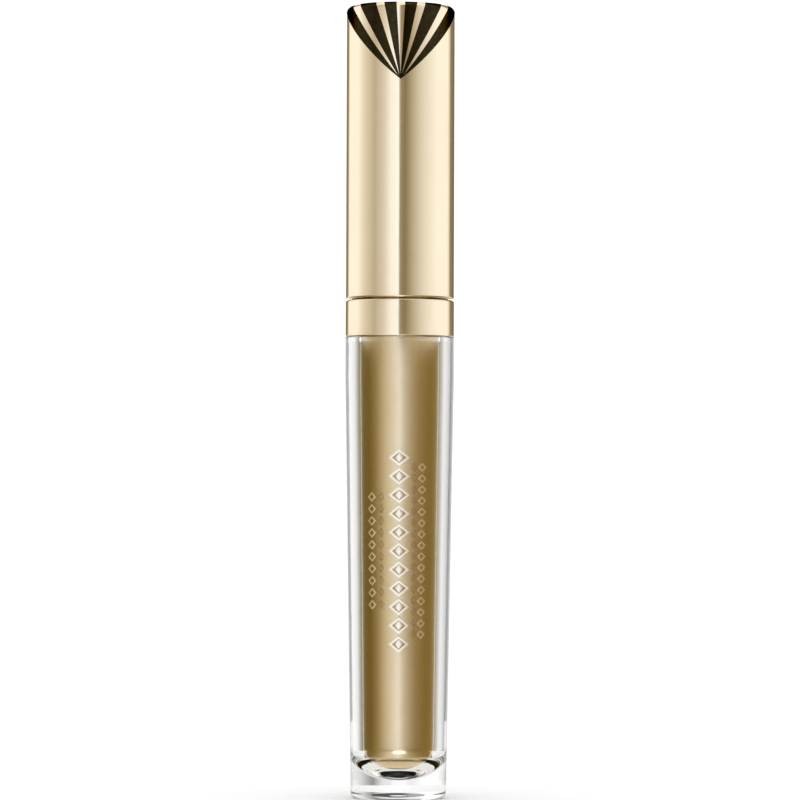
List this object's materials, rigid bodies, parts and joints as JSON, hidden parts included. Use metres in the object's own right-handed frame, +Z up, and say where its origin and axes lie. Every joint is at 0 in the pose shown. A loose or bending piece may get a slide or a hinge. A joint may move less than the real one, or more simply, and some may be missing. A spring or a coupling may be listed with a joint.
{
  "type": "mascara tube",
  "caption": "Slim round mascara with a screw-off gold cap carrying stem and brush, a gold collar, and a gold vial inside a thick clear tapering jacket; black stripes fan over the cap's top.",
  "frame": {"origin": "centre of the base, on the surface it stands on", "axes": "+Z up along the tube to the cap's top; the decorated front faces -Y; +X to the right seen from the front"},
  "size_m": [0.016, 0.016, 0.1163],
  "materials": {
    "clear_plastic": "clear, polished, thick-walled",
    "stamping_foil": "hot-stamped pale gold foil",
    "vial_gold": "metallised deep gold, gloss",
    "mascara": "wet black paste",
    "cap_gold": "metallised pale gold, gloss",
    "wiper_elastomer": "soft, translucent white",
    "black_plastic": "black, semi-gloss",
    "inner_plastic": "natural, matte",
    "black_enamel": "black-brown gloss enamel",
    "brush_plastic": "black, moulded",
    "brush_elastomer": "black, moulded, flexible"
  },
  "bodies": {
    "tube": {"clear_jacket": "clear_plastic", "front_ornament": "stamping_foil", "vial": "vial_gold", "mascara_fill": "mascara", "collar": "cap_gold", "wiper": "wiper_elastomer"},
    "stem": {"stem": "black_plastic"},
    "cap": {"inner_cap": "inner_plastic", "overcap": "cap_gold", "fan_enamel": "black_enamel", "brush_core": "brush_plastic", "brush_bristles": "brush_elastomer"}
  },
  "joints": [
    {"name": "cap_lift", "type": "slide", "parent": "tube", "child": "stem", "axis": [0, 0, 1], "range_m": [0, 0.085], "deforming": ["wiper"]},
    {"name": "cap_unscrew", "type": "hinge", "parent": "stem", "child": "cap", "pos_m": [0, 0, 0], "axis": [0, 0, 1], "range_deg": [0, 540]}
  ]
}
